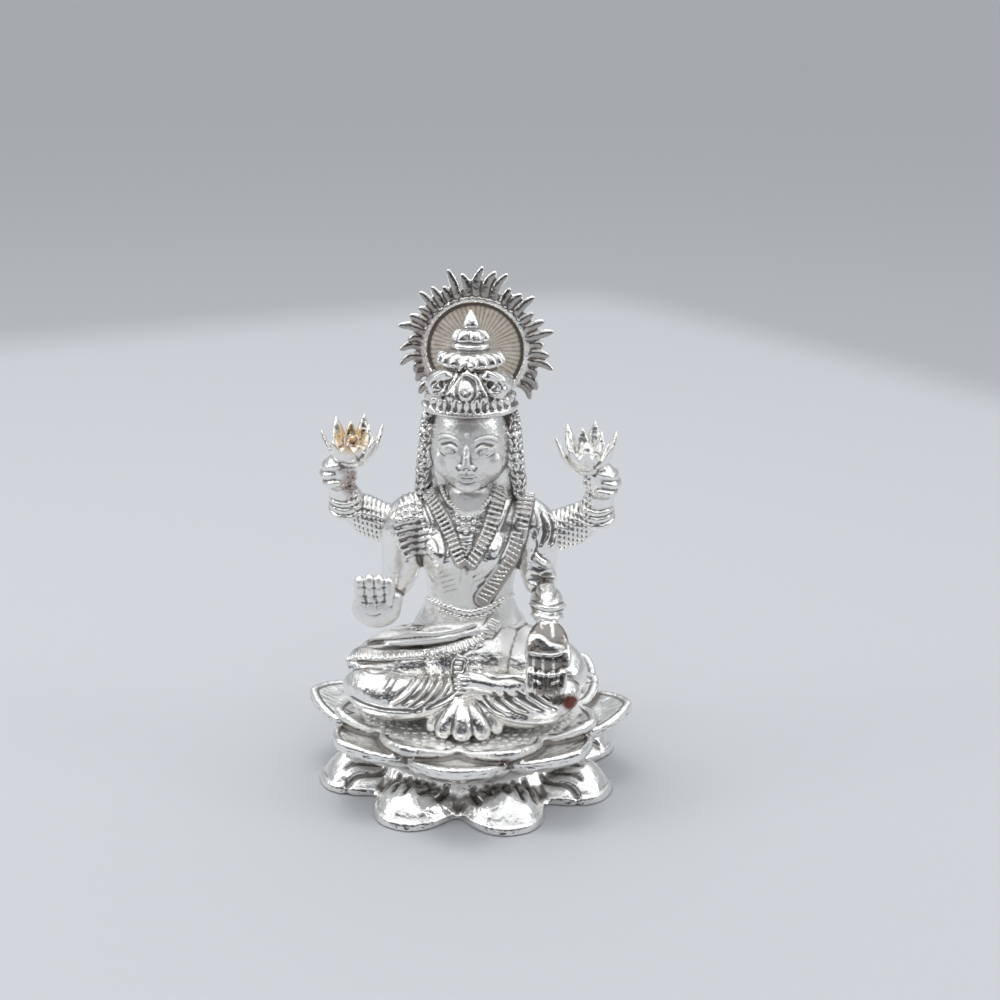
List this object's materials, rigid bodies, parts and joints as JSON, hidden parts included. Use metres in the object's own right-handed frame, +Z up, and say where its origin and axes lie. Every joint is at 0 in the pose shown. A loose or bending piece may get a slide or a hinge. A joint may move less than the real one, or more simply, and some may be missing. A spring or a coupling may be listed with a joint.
{
  "type": "lakshmi figure",
  "caption": "Cast silver figure of a seated four-armed goddess on a double lotus plinth, with a tall crown and a flame halo.",
  "frame": {"origin": "on the ground, at the middle of the plinth", "axes": "+Z up, and the figure faces -Y, so its raised right hand is at -X"},
  "size_m": [0.0408, 0.0408, 0.0628],
  "materials": {
    "polished_silver": "polished cast silver, satin in the recesses",
    "tarnished_silver": "cast silver with brown tarnish"
  },
  "bodies": {
    "root": {"lakshmi_on_lotus": "polished_silver", "flame_halo": "tarnished_silver"}
  },
  "joints": []
}
